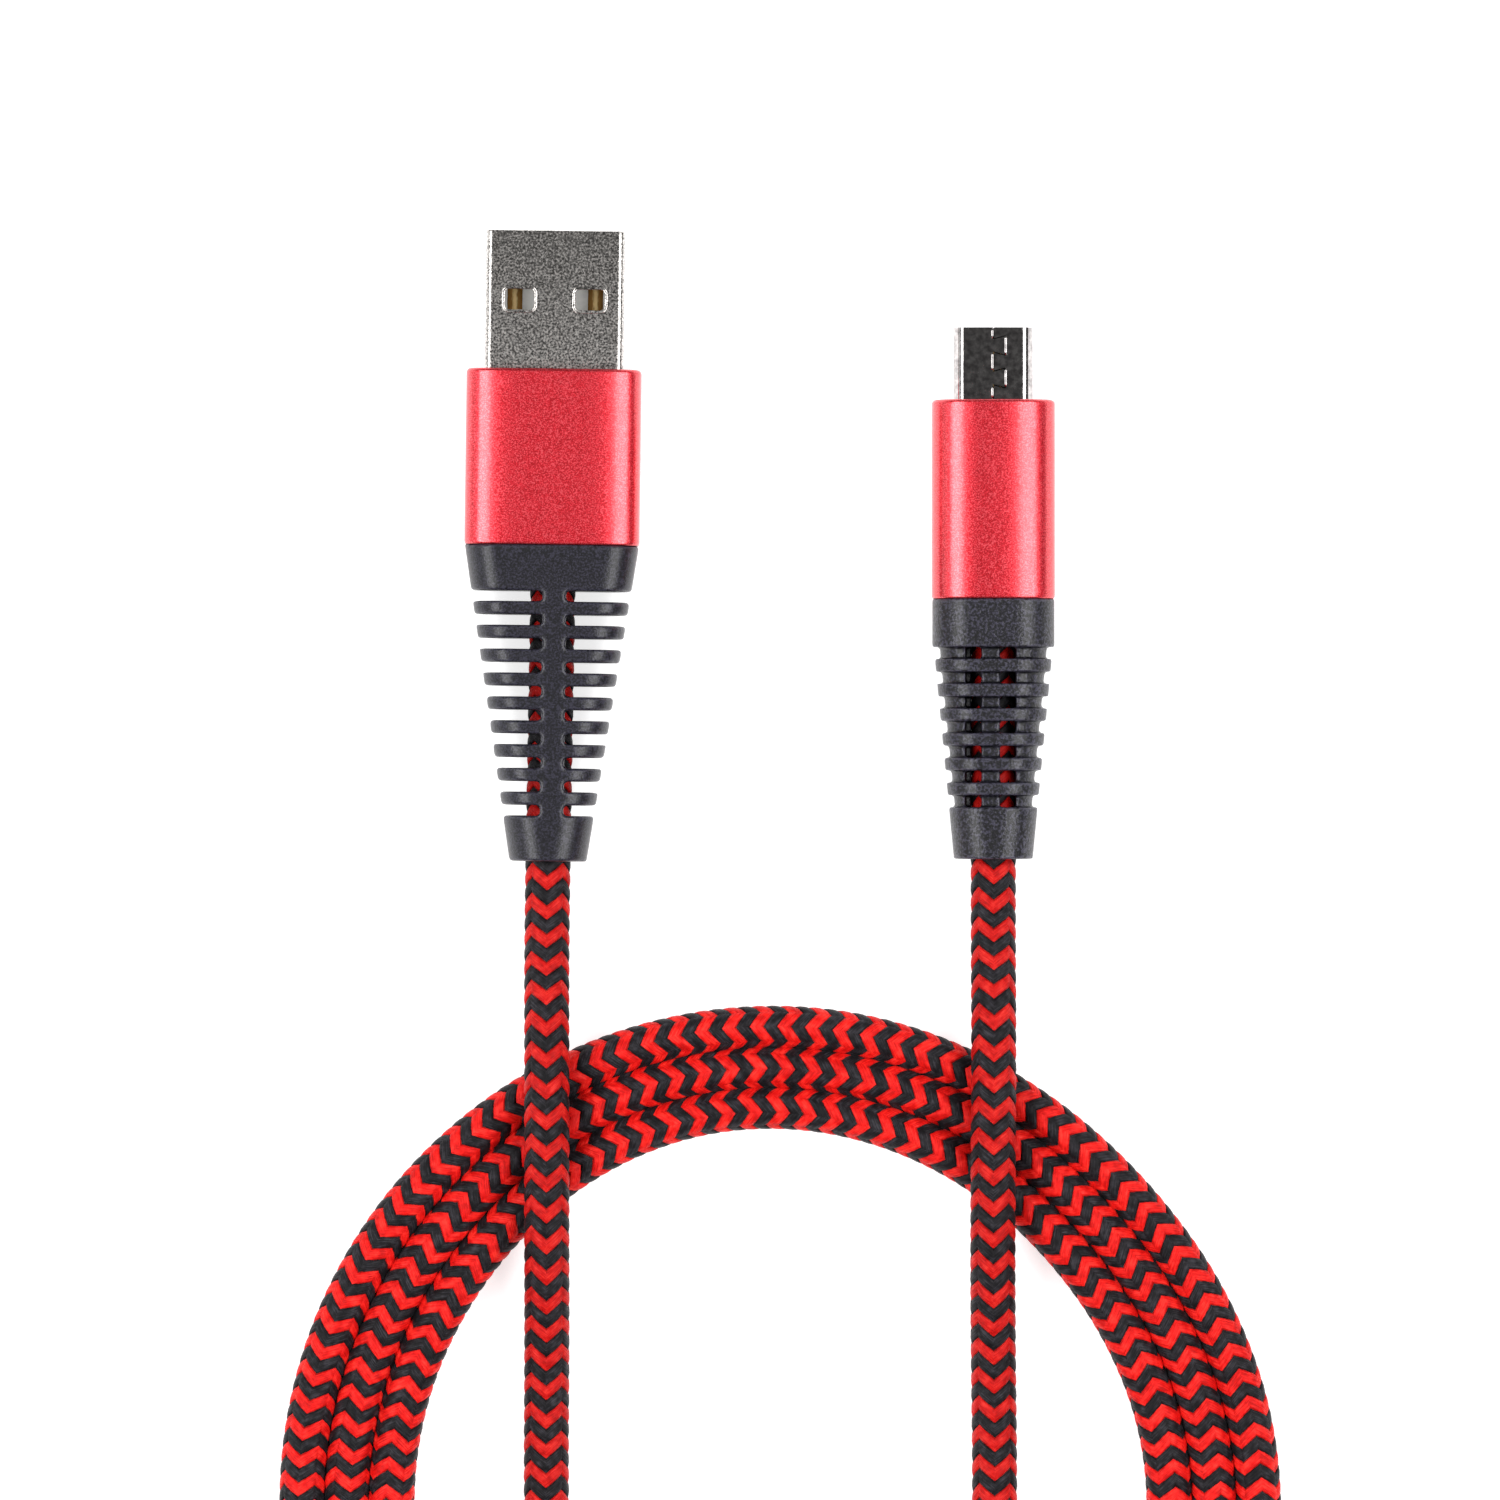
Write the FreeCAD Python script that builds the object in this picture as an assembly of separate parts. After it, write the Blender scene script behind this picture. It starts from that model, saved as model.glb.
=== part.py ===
"""USB-A to Micro-B charging cable, 1 m long, laid flat with its cord wound into a three-turn coil.

Millimetres. +Z is up and the cable lies on the plane Z = 0. Both plugs point along +Y. The origin is on that
plane, under the middle of the box around the two plugs. Each plug is built about its own axis, which runs along
+Y with Y = 0 at the tail of its boot, and is then put in its place.
"""

import FreeCAD, Part
import math
import os

V = FreeCAD.Vector

# ---- driving dimensions: the cord and how it lies ----
CORD_D = 4.0                 # over the braid
JACKET_D = 3.0               # under the braid
WIRE_D = 0.7
COIL_CENTRE = V(1.4, -83.3, 0)
COIL_OUTER_R = 43.8
COIL_INNER_R = 30.6
COIL_HEIGHT = 4.1
COIL_EDGE = 1.8              # rounding of the coil's rims
ARC_SHARE = 0.45             # how much of the shorter run each bend of a tube takes

# ---- driving dimensions: where the plugs lie ----
USB_A_AXIS = V(-18.6, -27.4, 3.9)     # tail of the boot, on the cord's axis
USB_A_LEAN = -0.75                    # degrees about +Z
MICRO_B_AXIS = V(20.1, -27.2, 3.85)

# ---- USB-A plug: stations along its axis, from the boot's tail ----
A_TAIL_COLLAR_END = 3.95
A_COLLAR_START = 23.45
A_HOUSING_START = 27.45
A_HOUSING_END = 42.7
A_SHELL_END = 54.7
A_SHELL_START = 36.2
A_NECK_END = 30.4
A_BRAID_END = 25.6
A_JACKET_END = 32.0
A_CAVITY_DEPTH = 9.2
A_HOUSING_SIZE = (15.2, 7.8, 2.7)     # width, thickness, corner radius
A_TAIL_SIZE = (6.7, 6.3, 3.1)
A_FINS = 9
A_FIN_GAP = 0.92
A_SPINE = 2.0
A_SPINE_X = 0.32                      # the spines sit a little to one side
A_SHELL_SIZE = (12.0, 4.5, 0.55)
A_SHELL_WALL = 0.3
A_WINDOW = (3.1, 2.35, 0.65)          # across, along, corner radius
A_WINDOW_X = 3.05
A_WINDOW_FROM_TIP = 6.0
A_CONTACT_X = (-3.5, -1.0, 1.0, 3.5)
A_CONTACT_NAMES = ("power", "data_minus", "data_plus", "ground")
A_CONTACT = (1.3, 0.28)               # width, thickness

# ---- Micro-B plug: stations along its axis, from the boot's tail ----
B_TAIL_COLLAR_END = 4.5
B_COLLAR_START = 18.4
B_HOUSING_START = 22.6
B_HOUSING_END = 39.85
B_SHELL_END = 46.15
B_SHELL_START = 32.6
B_NECK_END = 25.0
B_BRAID_END = 20.6
B_JACKET_END = 26.2
B_HOUSING_SIZE = (10.7, 7.7, 3.4)
B_TAIL_SIZE = (6.85, 6.3, 3.1)
B_TAPER_SIZE = (10.35, 7.3, 3.2)      # boot's outline where its taper starts
B_RINGS = 6
B_RING_GAP = 1.04
B_RING_HEIGHT = 0.52
B_SPINE = 1.6
B_SPINE_X = -0.28                     # the spines sit a little to one side
B_SLOT = 1.4                          # width of each window beside the spine
B_SLOT_FLOOR = 0.8                    # height of each window's floor above the middle plane
B_SHELL_W, B_SHELL_H = 6.85, 1.8
B_SHELL_WALL = 0.25
B_BEVEL_X = 2.95                      # half-width of the narrow face, to its sharp corner
B_BEVEL_Z = -0.05                     # where the bevel starts on the side
B_ROLL = 0.8                          # radius rolled between the narrow face and its bevels
B_CONTACT_PITCH = 0.65
B_CONTACT = (0.3, 0.13)               # width, thickness
B_CONTACT_ROOT = 40.6
B_CONTACT_TIP = 45.0
B_CONTACT_Z = -0.335
B_CONTACT_BUMP = (44.4, 0.2)          # station, radius
B_SLAB_TOP = -0.27
B_BLOCK_START = 31.5
B_BLOCK_END = 40.45
B_LATCH_X = 2.2
B_LATCH = (0.4, 0.25)                 # width, thickness
B_LATCH_ROOT = 37.1
B_LATCH_TIP = 44.9
B_LATCH_Z = -0.44
B_HOOK = (43.85, 44.75, -1.25)        # from, to, lowest point

# ---- wires: the contact each goes to, and its place round the cord's axis, in degrees ----
BUNDLE_R = 0.8
A_WIRES = {"red": (0, 225), "white": (1, 135), "green": (2, 45), "black": (3, 315)}
B_WIRES = {"red": (0, 135), "white": (1, 225), "green": (2, 45), "black": (4, 315)}
SOLDER_R = 0.5

# ---- routes of the two free ends of the cord, from each boot to the coil ----
USB_A_ROUTE = [
    V(-18.6, -27.4, 3.9),
    V(-18.7, -35.3, 3.9),
    V(-18.6, -43.5, 6.7),
    V(-18.5, -59.7, 6.7),
    V(-18.6, -69.9, 3.2),
    V(-18.8, -82.4, 2.05),
    V(-18.6, -98.7, 2.05),
    V(-15.1, -107.1, 2.05),
    V(-8.6, -113.6, 2.05),
    V(-0.2, -117.1, 2.05),
    V(8.9, -117.1, 2.05),
]
MICRO_B_ROUTE = [
    V(20.1, -27.2, 3.85),
    V(20.1, -35.2, 3.85),
    V(20.1, -43.2, 6.7),
    V(20.0, -59.1, 6.7),
    V(20.1, -69.4, 3.2),
    V(20.3, -81.9, 2.05),
    V(20.1, -94.1, 3.5),
    V(18.2, -104.6, 6.4),
    V(12.9, -113.4, 6.8),
    V(4.6, -119.0, 6.7),
    V(-5.4, -121.2, 6.8),
    V(-15.6, -120.0, 6.7),
    V(-25.2, -115.3, 6.6),
    V(-32.9, -107.6, 5.4),
    V(-38.1, -97.6, 3.0),
    V(-40.4, -86.9, 2.05),
]


# ---- shape helpers ----
def box(x0, x1, y0, y1, z0, z1):
    return Part.makeBox(x1 - x0, y1 - y0, z1 - z0, V(x0, y0, z0))


def rounded_outline(width, height, radius, y):
    """Closed outline across the axis at station y: a rectangle with rounded corners."""
    a, b = width / 2 - radius, height / 2 - radius
    k = radius * math.sqrt(0.5)
    corners = [(a, b, 1, 1), (-a, b, -1, 1), (-a, -b, -1, -1), (a, -b, 1, -1)]
    edges = []
    ends = []
    for cx, cz, sx, sz in corners:
        beside = V(cx + sx * radius, y, cz)
        above = V(cx, y, cz + sz * radius)
        first, last = (beside, above) if sx * sz > 0 else (above, beside)
        middle = V(cx + sx * k, y, cz + sz * k)
        ends.append((first, last))
        edges.append(Part.Arc(first, middle, last).toShape())
    wire = []
    for i, edge in enumerate(edges):
        wire.append(edge)
        wire.append(Part.LineSegment(ends[i][1], ends[(i + 1) % 4][0]).toShape())
    return Part.Wire(wire)


def prism(outline, length):
    return Part.Face(outline).extrude(V(0, length, 0))


def sleeve(size, y0, y1, grow=0.0):
    width, height, radius = size
    outline = rounded_outline(width + 2 * grow, height + 2 * grow, radius + grow, y0)
    return prism(outline, y1 - y0)


def rod(radius, y0, y1):
    return Part.makeCylinder(radius, y1 - y0, V(0, y0, 0), V(0, 1, 0))


def between(size_a, size_b, share):
    return tuple(a + (b - a) * share for a, b in zip(size_a, size_b))


def taper(size_a, y0, size_b, y1, grow=0.0):
    """Solid whose outline goes evenly from size_a at y0 to size_b at y1."""
    outlines = [
        rounded_outline(w + 2 * grow, h + 2 * grow, r + grow, y)
        for (w, h, r), y in ((size_a, y0), (size_b, y1))
    ]
    return Part.makeLoft(outlines, True, True)


def edges_at(shape, y, reach):
    """The edges that lie at station y, out beyond reach from the axis."""
    found = []
    for edge in shape.Edges:
        b = edge.BoundBox
        if abs(b.YMin - y) < 1e-4 and abs(b.YMax - y) < 1e-4:
            if max(abs(b.XMin), abs(b.XMax)) >= reach:
                found.append(edge)
    return found


def rounded_slot(x0, x1, y0, y1, radius, z0, z1):
    """Block with rounded upright corners at x0 only."""
    turn = 1 if x1 > x0 else -1
    k = radius * (1 - math.sqrt(0.5))
    a, b = V(x1, y0, z0), V(x0 + turn * radius, y0, z0)
    c, d = V(x0, y0 + radius, z0), V(x0, y1 - radius, z0)
    e, f = V(x0 + turn * radius, y1, z0), V(x1, y1, z0)
    edges = [
        Part.LineSegment(a, b).toShape(),
        Part.Arc(b, V(x0 + turn * k, y0 + k, z0), c).toShape(),
        Part.LineSegment(c, d).toShape(),
        Part.Arc(d, V(x0 + turn * k, y1 - k, z0), e).toShape(),
        Part.LineSegment(e, f).toShape(),
        Part.LineSegment(f, a).toShape(),
    ]
    return Part.Face(Part.Wire(edges)).extrude(V(0, 0, z1 - z0))


def tube(route, radius):
    """Round tube along straight runs joined by tangent arcs. Returns the solid, its length and its radii."""
    edges, radii, length = [], [], 0.0
    start = route[0]
    for i in range(1, len(route) - 1):
        before, here, after = route[i - 1], route[i], route[i + 1]
        back, ahead = before - here, after - here
        setback = ARC_SHARE * min(back.Length, ahead.Length)
        half_turn = (math.pi - back.getAngle(ahead)) / 2
        bend = setback / math.tan(half_turn)
        enter = here + back * (setback / back.Length)
        leave = here + ahead * (setback / ahead.Length)
        inward = (enter + leave) * 0.5 - here
        centre = here + inward * (math.hypot(setback, bend) / inward.Length)
        middle = centre + (here - centre) * (bend / (here - centre).Length)
        edges.append(Part.LineSegment(start, enter).toShape())
        edges.append(Part.Arc(enter, middle, leave).toShape())
        length += (enter - start).Length + 2 * half_turn * bend
        radii.append(bend)
        start = leave
    edges.append(Part.LineSegment(start, route[-1]).toShape())
    length += (route[-1] - start).Length
    spine = Part.Wire(edges)
    section = Part.Wire(Part.makeCircle(radius, route[0], route[1] - route[0]))
    solid = spine.makePipeShell([section], True, True)
    return solid, length, radii


# ---- USB-A plug ----
def usb_a_housing():
    """Drawn aluminium sleeve, open at both ends."""
    outer = sleeve(A_HOUSING_SIZE, A_HOUSING_START, A_HOUSING_END)
    outer = outer.makeFillet(0.45, edges_at(outer, A_HOUSING_END, 0))
    outer = outer.makeChamfer(0.12, edges_at(outer, A_HOUSING_START, 0))
    return outer.cut(sleeve(a_bore_size(), A_HOUSING_START - 1, A_HOUSING_END + 1))


def a_bore_size():
    width, height, radius = A_HOUSING_SIZE
    wall = 0.75
    return width - 2 * wall, height - 2 * wall, radius - wall


def usb_a_boot():
    """Tapered rubber strain relief: collar, nine fins on a spine front and back, tail collar and neck."""
    front = (A_HOUSING_SIZE[0] - 0.1, A_HOUSING_SIZE[1] - 0.1, A_HOUSING_SIZE[2])
    body = taper(A_TAIL_SIZE, 0, front, A_HOUSING_START)
    pitch = (A_COLLAR_START - A_TAIL_COLLAR_END - A_FIN_GAP) / A_FINS
    slots = []
    for i in range(A_FINS + 1):
        y0 = A_TAIL_COLLAR_END + i * pitch
        for side in (-1, 1):
            near = A_SPINE_X + side * A_SPINE / 2
            slots.append(rounded_slot(near, side * 10, y0, y0 + A_FIN_GAP, 0.25, -6, 6))
    body = body.cut(Part.makeCompound(slots))
    body = body.fuse(sleeve(a_bore_size(), A_HOUSING_START, A_NECK_END)).removeSplitter()
    body = body.cut(rod(CORD_D / 2, -1, A_BRAID_END))
    return body.cut(rod(JACKET_D / 2, A_BRAID_END, A_NECK_END + 1))


def usb_a_shell():
    """Folded steel shell with two windows in its upper face and two in its lower one."""
    width, height, radius = A_SHELL_SIZE
    outer = sleeve(A_SHELL_SIZE, A_SHELL_START, A_SHELL_END)
    outer = outer.makeFillet(0.14, edges_at(outer, A_SHELL_END, 0))
    inner = (width - 2 * A_SHELL_WALL, height - 2 * A_SHELL_WALL, radius - A_SHELL_WALL)
    shell = outer.cut(sleeve(inner, A_SHELL_START - 1, A_SHELL_END + 1))
    across, along, corner = A_WINDOW
    y0 = A_SHELL_END - A_WINDOW_FROM_TIP - along / 2
    for x in (-A_WINDOW_X, A_WINDOW_X):
        for z in (-height, 0.5):
            window = box(x - across / 2, x + across / 2, y0, y0 + along, z, z + height - 0.5)
            upright = [e for e in window.Edges if e.BoundBox.ZLength > 1]
            shell = shell.cut(window.makeFillet(corner, upright))
    seam = box(-0.05, 0.05, A_SHELL_START - 1, A_SHELL_END + 1, -height / 2 - 1, -height / 2 + 0.2)
    return shell.cut(seam)


def usb_a_contact(x, reach):
    """Gold-plated strip on the tongue, with its solder tail behind."""
    width, thick = A_CONTACT
    strip = box(x - width / 2, x + width / 2, A_SHELL_START + 1.3, reach, 0.03 - thick, 0.03)
    ends = [
        e for e in strip.Edges
        if e.BoundBox.XLength > width / 2 and abs(e.BoundBox.YMax - reach) < 1e-4 and e.BoundBox.ZMin > 0
    ]
    strip = strip.makeChamfer(0.15, ends)
    tail = box(x - 0.35, x + 0.35, A_SHELL_START - 1.1, A_SHELL_START + 1.3, 0.03 - thick, 0.03)
    return strip.fuse(tail).removeSplitter()


def usb_a_contacts():
    made = {}
    for i, name in enumerate(A_CONTACT_NAMES):
        outermost = i in (0, len(A_CONTACT_NAMES) - 1)
        reach = A_SHELL_END - (1.2 if outermost else 2.2)
        made["usb_a_contact_" + name] = usb_a_contact(A_CONTACT_X[i], reach)
    return made


def usb_a_insulator(contacts):
    """White tongue with a block behind it, grooved for the four contacts."""
    width, height, radius = A_SHELL_SIZE
    inset = A_SHELL_WALL + 0.05
    room = (width - 2 * inset, height - 2 * inset, radius - A_SHELL_WALL)
    back = A_SHELL_END - A_CAVITY_DEPTH
    front = A_SHELL_END - 0.45
    body = sleeve(room, A_SHELL_START + 1.3, front).cut(box(-width, width, back, front + 1, 0, height))
    lead_in = [
        e for e in body.Edges
        if e.BoundBox.XLength > width / 2 and e.BoundBox.YMin > back + 1 and e.BoundBox.ZMin > -0.01
    ]
    return body.makeChamfer(0.3, lead_in).cut(Part.makeCompound(list(contacts.values())))


# ---- Micro-B plug ----
def b_bore_size():
    width, height, radius = B_HOUSING_SIZE
    wall = 0.75
    return width - 2 * wall, height - 2 * wall, radius - wall


def micro_b_housing():
    outer = sleeve(B_HOUSING_SIZE, B_HOUSING_START, B_HOUSING_END)
    outer = outer.makeFillet(0.35, edges_at(outer, B_HOUSING_END, 0))
    outer = outer.makeChamfer(0.12, edges_at(outer, B_HOUSING_START, 0))
    return outer.cut(sleeve(b_bore_size(), B_HOUSING_START - 1, B_HOUSING_END + 1))


def micro_b_boot():
    """Tapered rubber strain relief: collar, six rings round an inner wall with windows by its spines."""
    collar_size = (B_HOUSING_SIZE[0] - 0.1, B_HOUSING_SIZE[1] - 0.1, B_HOUSING_SIZE[2])
    core = taper(B_TAIL_SIZE, 0, B_TAPER_SIZE, B_COLLAR_START, grow=-B_RING_HEIGHT)
    bands = [taper(B_TAIL_SIZE, 0, b_outline_at(B_TAIL_COLLAR_END), B_TAIL_COLLAR_END)]
    pitch = (B_COLLAR_START - B_TAIL_COLLAR_END - B_RING_GAP) / B_RINGS
    slots = []
    for i in range(B_RINGS + 1):
        y0 = B_TAIL_COLLAR_END + i * pitch
        y1 = y0 + B_RING_GAP
        for x0 in (B_SPINE_X - B_SPINE / 2 - B_SLOT, B_SPINE_X + B_SPINE / 2):
            slots.append(box(x0, x0 + B_SLOT, y0, y1, B_SLOT_FLOOR, 6))
            slots.append(box(x0, x0 + B_SLOT, y0, y1, -6, -B_SLOT_FLOOR))
        if i < B_RINGS:
            ring_end = y0 + pitch
            bands.append(taper(b_outline_at(y1), y1, b_outline_at(ring_end), ring_end))
    collar = sleeve(collar_size, B_COLLAR_START, B_HOUSING_START)
    neck = sleeve(b_bore_size(), B_HOUSING_START, B_NECK_END)
    body = core.multiFuse(bands + [collar]).cut(Part.makeCompound(slots))
    body = body.fuse(neck).removeSplitter()
    body = body.cut(rod(CORD_D / 2, -1, B_BRAID_END))
    return body.cut(rod(JACKET_D / 2, B_BRAID_END, B_NECK_END + 1))


def b_outline_at(y):
    return between(B_TAIL_SIZE, B_TAPER_SIZE, y / B_COLLAR_START)


def micro_b_profile(inset, y):
    """Outline of the plug's shell at station y: a wide lower face and a narrow upper one with bevels."""
    half_w, half_h = B_SHELL_W / 2 - inset, B_SHELL_H / 2 - inset
    slope = math.atan2(B_SHELL_H / 2 - B_BEVEL_Z, B_SHELL_W / 2 - B_BEVEL_X)
    shift = inset * math.tan((math.pi / 2 - slope) / 2)
    top_x = B_BEVEL_X - inset * math.tan(slope / 2)
    side_z = B_BEVEL_Z - shift
    points = [
        V(-half_w, y, -half_h), V(half_w, y, -half_h), V(half_w, y, side_z),
        V(top_x, y, half_h), V(-top_x, y, half_h), V(-half_w, y, side_z),
    ]
    return Part.makePolygon(points + points[:1])


def micro_b_envelope(inset, y0, y1, corner):
    solid = prism(micro_b_profile(inset, y0), y1 - y0)
    upper = [e for e in solid.Edges if e.BoundBox.YLength > (y1 - y0) / 2 and e.BoundBox.ZMin > 0]
    solid = solid.makeFillet(B_ROLL - inset, upper)
    lower = [e for e in solid.Edges if e.BoundBox.YLength > (y1 - y0) / 2 and e.BoundBox.ZMax < 0]
    return solid.makeFillet(corner, lower)


def seam_slots():
    """Dovetailed seam in the middle of the narrow face, as a chain of thin blocks."""
    tip, tab = B_SHELL_END, 1.0
    bends = [
        (0, 1), (0, -1.0), (tab, -0.75), (tab, -2.4), (0, -2.15), (0, -3.8),
        (tab, -3.55), (tab, -5.25), (0, -5.0), (0, B_SHELL_START - B_SHELL_END - 1),
    ]
    width = 0.1
    blocks = []
    for (xa, ya), (xb, yb) in zip(bends, bends[1:]):
        run = math.hypot(xb - xa, yb - ya)
        block = box(-width / 2, run + width / 2, -width / 2, width / 2, 0, 1)
        block.rotate(V(0, 0, 0), V(0, 0, 1), math.degrees(math.atan2(yb - ya, xb - xa)))
        block.translate(V(xa, tip + ya, B_SHELL_H / 2 - B_SHELL_WALL - 0.05))
        blocks.append(block)
    return blocks


def micro_b_shell():
    outer = micro_b_envelope(0, B_SHELL_START, B_SHELL_END, 0.32)
    inner = micro_b_envelope(B_SHELL_WALL, B_SHELL_START - 1, B_SHELL_END + 1, 0.12)
    shell = outer.cut(inner)
    for block in seam_slots():
        shell = shell.cut(block)
    y0, y1, _ = B_HOOK
    for x in (-B_LATCH_X, B_LATCH_X):
        shell = shell.cut(box(x - 0.35, x + 0.35, y0 - 0.2, y1 + 0.2, -2, -0.5))
    return shell


def micro_b_latch(x):
    """Spring arm beside the contacts, with a hook that stands out of the wide face."""
    width, thick = B_LATCH
    y0, y1, low = B_HOOK
    left, right = x - width / 2, x + width / 2
    bottom, top = B_LATCH_Z - thick / 2, B_LATCH_Z + thick / 2
    arm = box(left, right, B_LATCH_ROOT, B_LATCH_TIP, bottom, top)
    root = Part.makeCylinder(thick / 2, width, V(left, B_LATCH_ROOT, B_LATCH_Z), V(1, 0, 0))
    ramp = Part.makePolygon([
        V(left, y0, bottom), V(left, y0, low), V(left, y0 + 0.3, low),
        V(left, y1, -0.85), V(left, y1, bottom), V(left, y0, bottom),
    ])
    hook = Part.Face(ramp).extrude(V(width, 0, 0))
    return arm.multiFuse([root, hook]).removeSplitter()


def micro_b_contact_x(i):
    return (i - 2) * B_CONTACT_PITCH


def micro_b_contact_spring(i):
    """Free end of a contact: a beam with a rounded root and a bump near its tip."""
    width, thick = B_CONTACT
    left = micro_b_contact_x(i) - width / 2
    beam = box(
        left, left + width, B_CONTACT_ROOT, B_CONTACT_TIP, B_CONTACT_Z - thick / 2, B_CONTACT_Z + thick / 2
    )
    root = Part.makeCylinder(thick / 2, width, V(left, B_CONTACT_ROOT, B_CONTACT_Z), V(1, 0, 0))
    station, radius = B_CONTACT_BUMP
    bump = Part.makeCylinder(radius, width, V(left, station, B_CONTACT_Z + thick / 2), V(1, 0, 0))
    bump = bump.cut(box(-4, 4, station - 1, station + 1, -2, B_CONTACT_Z))
    return beam.multiFuse([root, bump]).removeSplitter()


def tail_height(i):
    return 0.45 if i % 2 == 0 else -0.45


def micro_b_contact_base(i):
    """Fixed part of a contact, through the block, with its tail bent up or down to its own solder row."""
    width, thick = B_CONTACT
    left = micro_b_contact_x(i) - width / 2
    low, high = B_CONTACT_Z - thick / 2, B_CONTACT_Z + thick / 2
    tail_z = tail_height(i)
    through = box(left, left + width, B_BLOCK_START - 0.15, B_CONTACT_ROOT - 0.12, low, high)
    riser = box(
        left, left + width, B_BLOCK_START - 0.15, B_BLOCK_START,
        min(low, tail_z - thick / 2), max(high, tail_z + thick / 2),
    )
    tail = box(
        left, left + width, B_BLOCK_START - 1.3, B_BLOCK_START, tail_z - thick / 2, tail_z + thick / 2
    )
    return through.multiFuse([riser, tail]).removeSplitter()


def micro_b_insulator(bases):
    """Black block with a slotted slab in front: slots for the springs, channels for the latches."""
    half_h = B_SHELL_H / 2 - B_SHELL_WALL - 0.03
    envelope = micro_b_envelope(B_SHELL_WALL + 0.03, B_BLOCK_START, B_SHELL_END - 0.45, 0.1)
    envelope = envelope.cut(box(-4, 4, B_BLOCK_END, B_SHELL_END, B_SLAB_TOP, 2))
    for i in range(5):
        x = micro_b_contact_x(i)
        slot = (x - 0.2, x + 0.2, B_BLOCK_END - 0.01, B_CONTACT_TIP + 0.25)
        envelope = envelope.cut(box(*slot, -half_h - 1, half_h + 1))
    for x in (-B_LATCH_X, B_LATCH_X):
        channel = box(x - 0.27, x + 0.27, B_LATCH_ROOT - 0.3, B_LATCH_TIP + 0.2, -half_h - 1, 0.12)
        envelope = envelope.cut(channel)
    return envelope.cut(Part.makeCompound(list(bases.values())))


# ---- wires, solder and moulding, for either plug ----
def wires_to(tails, wiring, jacket, contacts):
    """Insulated wires, fanned from the stripped jacket's end to the solder tails."""
    start_y = jacket.BoundBox.YMax
    stops = Part.makeCompound([box(-2, 2, start_y - 2, start_y, -2, 2)] + contacts)
    made = {}
    for colour, (slot, degrees) in wiring.items():
        angle = math.radians(degrees)
        start = V(BUNDLE_R * math.cos(angle), start_y - 0.3, BUNDLE_R * math.sin(angle))
        wire = Part.makeCylinder(WIRE_D / 2, (tails[slot] - start).Length, start, tails[slot] - start)
        made[colour] = max(wire.cut(stops).Solids, key=lambda s: s.Volume)
    return made


def solder_on(tails, wiring, others):
    """One rounded joint at each wire's end, shaped round what it holds."""
    joints = []
    for slot, _ in wiring.values():
        joint = Part.makeSphere(SOLDER_R, tails[slot]).cut(Part.makeCompound(others))
        joints.append(max(joint.Solids, key=lambda s: s.Volume))
    return Part.makeCompound(joints)


def inner_mould(size, y0, y1, contents):
    """Moulding that fills the sleeve round the shell, the wires and the jacket."""
    mould = sleeve(size, y0, y1)
    for solid in contents:
        mould = mould.cut(solid)
    return max(mould.Solids, key=lambda s: s.Volume)


def usb_a_plug():
    contacts = usb_a_contacts()
    parts = {
        "usb_a_housing": usb_a_housing(),
        "usb_a_boot": usb_a_boot(),
        "usb_a_shell": usb_a_shell(),
        "usb_a_insulator": usb_a_insulator(contacts),
        "usb_a_cord_in_boot": rod(CORD_D / 2, 0, A_BRAID_END),
        "usb_a_cord_jacket_end": rod(JACKET_D / 2, A_BRAID_END, A_JACKET_END),
    }
    parts.update(contacts)
    tails = [V(x, A_SHELL_START - 0.75, 0.03 + WIRE_D / 2) for x in A_CONTACT_X]
    jacket = parts["usb_a_cord_jacket_end"]
    metal = list(contacts.values())
    wires = wires_to(tails, A_WIRES, jacket, metal)
    parts.update({"usb_a_wire_" + colour: wire for colour, wire in wires.items()})
    joints = solder_on(tails, A_WIRES, list(wires.values()) + metal)
    parts["usb_a_solder_joints"] = joints
    contents = [sleeve(A_SHELL_SIZE, A_SHELL_START, A_SHELL_END), jacket]
    contents += list(wires.values()) + joints.Solids + metal
    parts["usb_a_inner_mould"] = inner_mould(a_bore_size(), A_NECK_END, A_HOUSING_END - 0.35, contents)
    return parts


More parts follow.
